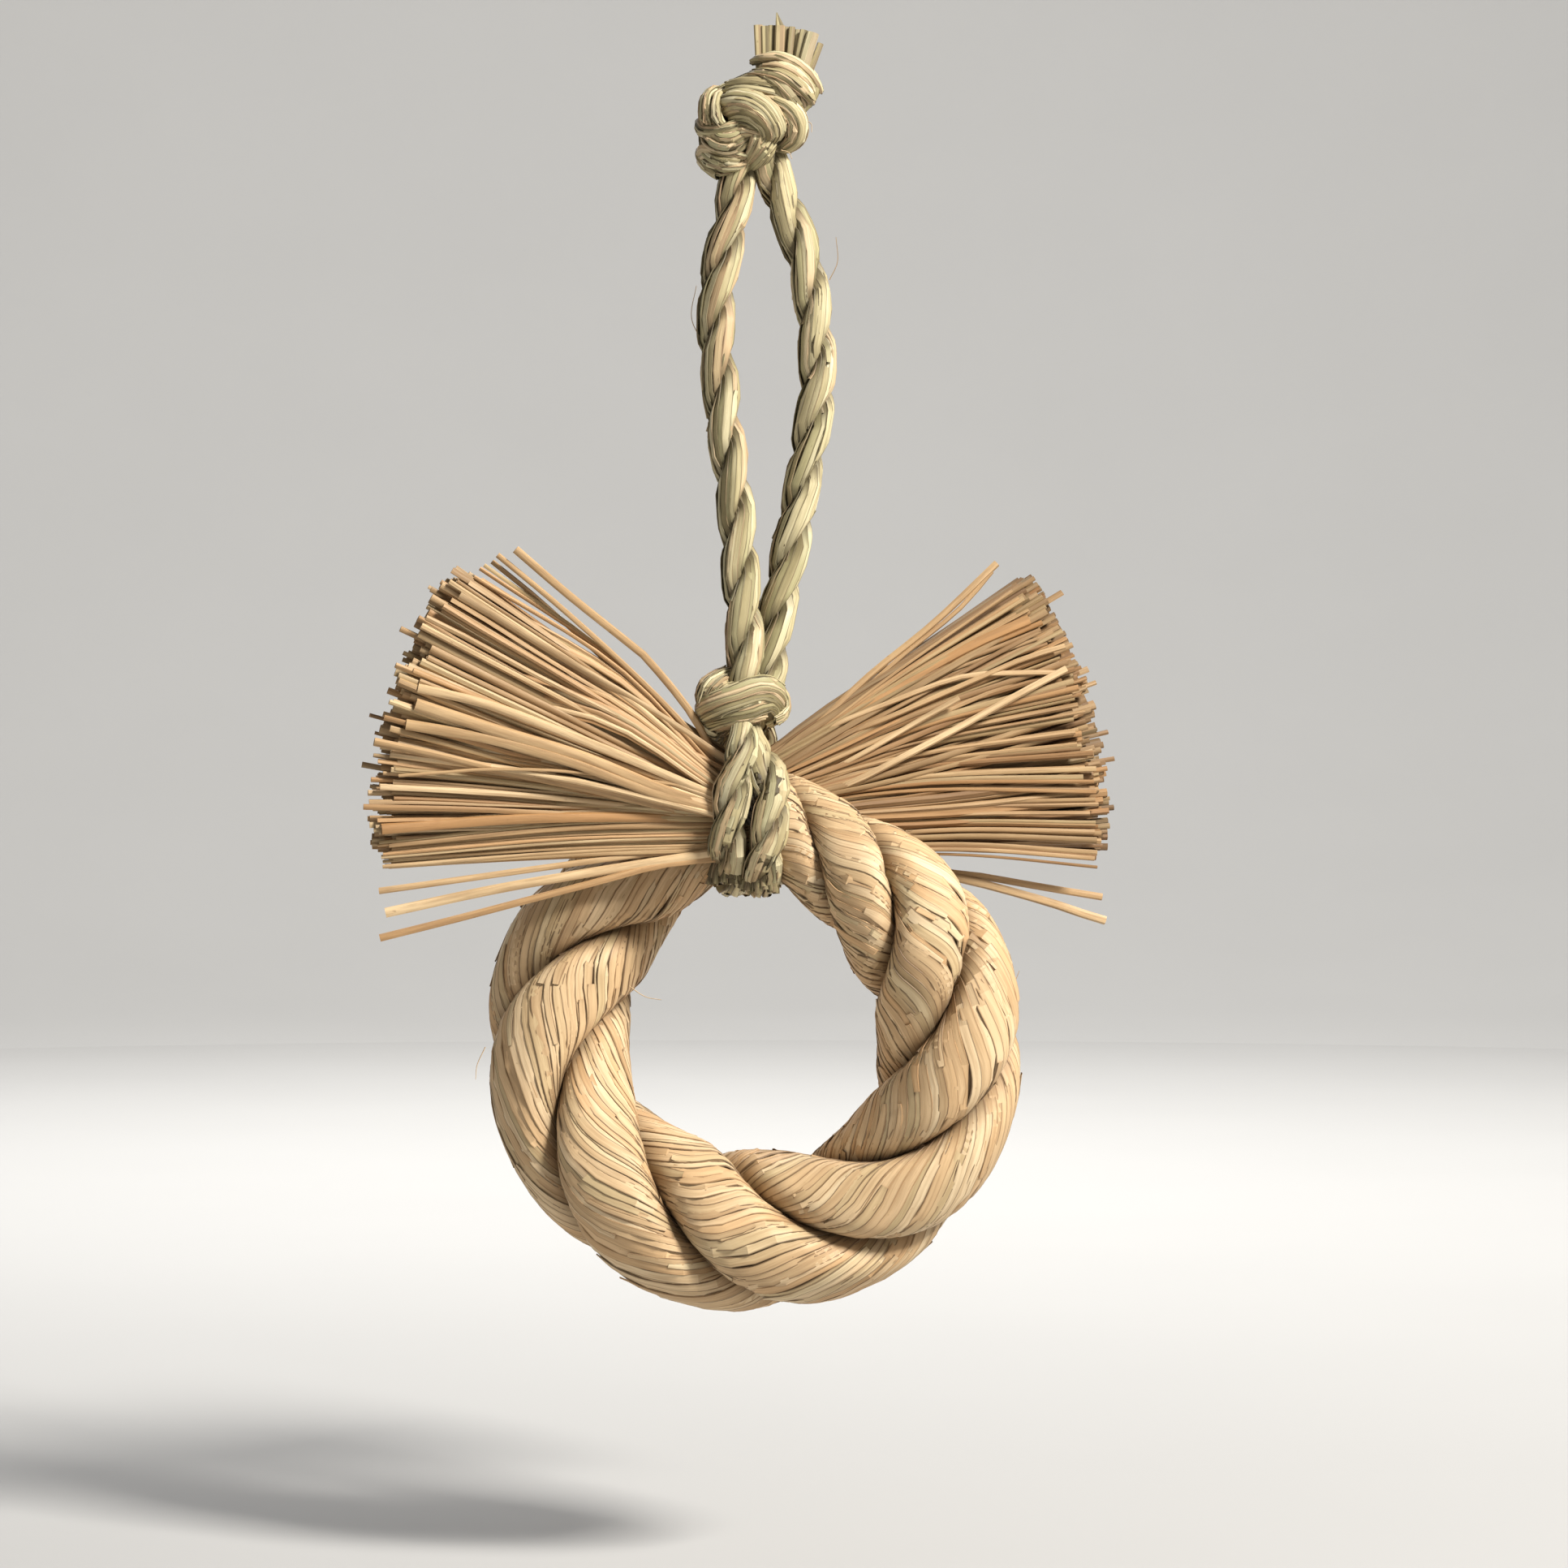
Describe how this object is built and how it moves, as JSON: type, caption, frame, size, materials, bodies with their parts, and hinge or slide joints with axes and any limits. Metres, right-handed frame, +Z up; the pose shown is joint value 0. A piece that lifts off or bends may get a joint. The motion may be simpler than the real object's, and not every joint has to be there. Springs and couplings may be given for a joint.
{
  "type": "new year wreath",
  "caption": "Hanging straw wreath: a thick laid-rope ring with its ends crossed, bound and fanned out as brushes, under a knotted loop of straw cord.",
  "frame": {"origin": "the hang point, on the underside of the top knot between the two legs of the hanging cord", "axes": "+Z up as it hangs, front of the ring towards -Y, +X to the right of someone facing it"},
  "size_m": [0.1707, 0.0585, 0.3008],
  "materials": {
    "ring_straw": "dry golden rice straw, matt with a faint sheen",
    "brush_straw": "loose dry straw ends, darker between the stalks",
    "cord_straw": "twisted green-grey straw cord, matt"
  },
  "bodies": {
    "root": {"ring_strand_1": "ring_straw", "ring_strand_2": "ring_straw", "ring_strand_3": "ring_straw", "brush_left": "brush_straw", "brush_right": "brush_straw", "cord_leg_left": "cord_straw", "cord_leg_right": "cord_straw", "top_knot": "cord_straw", "lower_knot": "cord_straw", "tie_wrap_left": "cord_straw", "tie_wrap_right": "cord_straw"}
  },
  "joints": []
}
